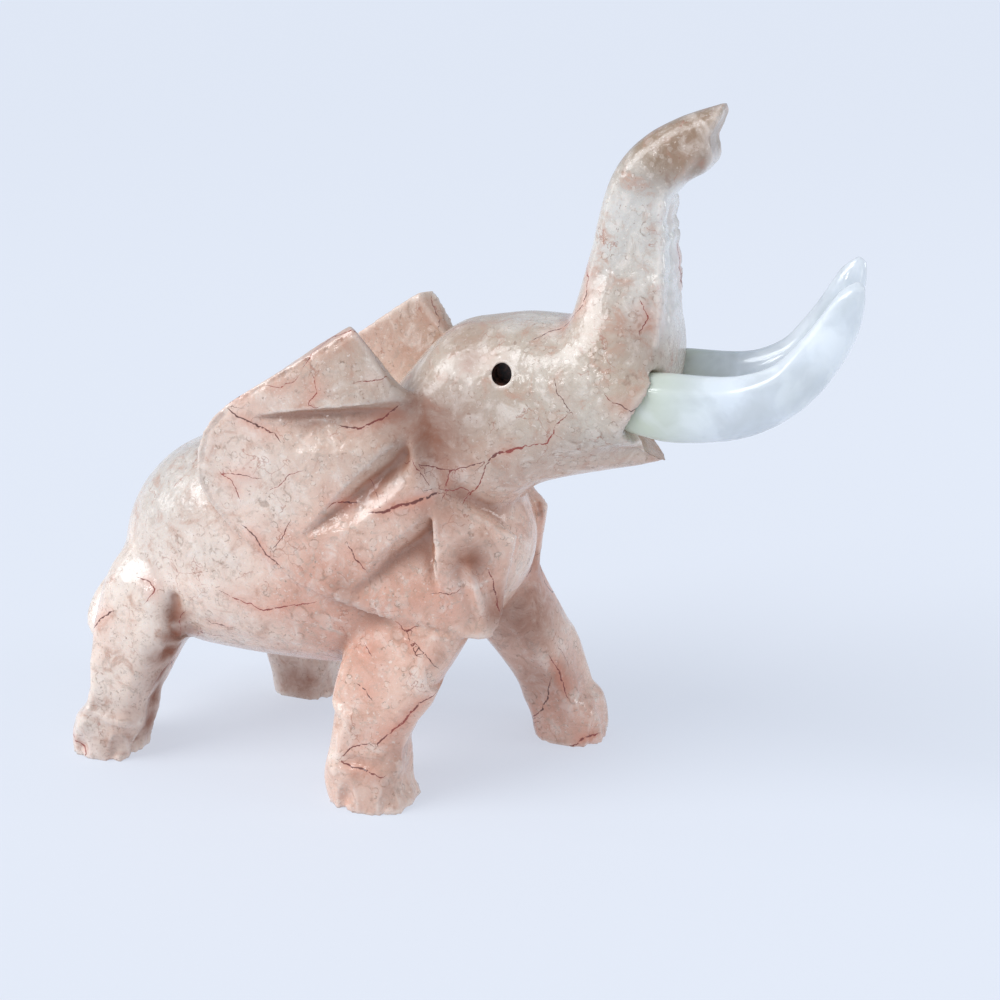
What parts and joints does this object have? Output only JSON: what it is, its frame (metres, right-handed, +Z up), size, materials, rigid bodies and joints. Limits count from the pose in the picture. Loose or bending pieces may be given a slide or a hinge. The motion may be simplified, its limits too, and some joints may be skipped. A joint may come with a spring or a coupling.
{
  "type": "carved stone elephant figurine",
  "caption": "Polished pink-beige stone elephant, striding, trunk raised high, wide fluted ears, drilled eyes and inset pale curved tusks.",
  "frame": {"origin": "on the ground the feet stand on, under the middle of the whole figure's length and width", "axes": "+X towards the head and tusks, +Y to the animal's left, +Z up"},
  "size_m": [0.1924, 0.0676, 0.1636],
  "materials": {
    "veined_stone": "polished pink-beige fossil marble with fine dark red veins",
    "pale_stone": "polished translucent greenish-white onyx"
  },
  "bodies": {
    "root": {"elephant": "veined_stone", "tusk_right": "pale_stone", "tusk_left": "pale_stone"}
  },
  "joints": []
}
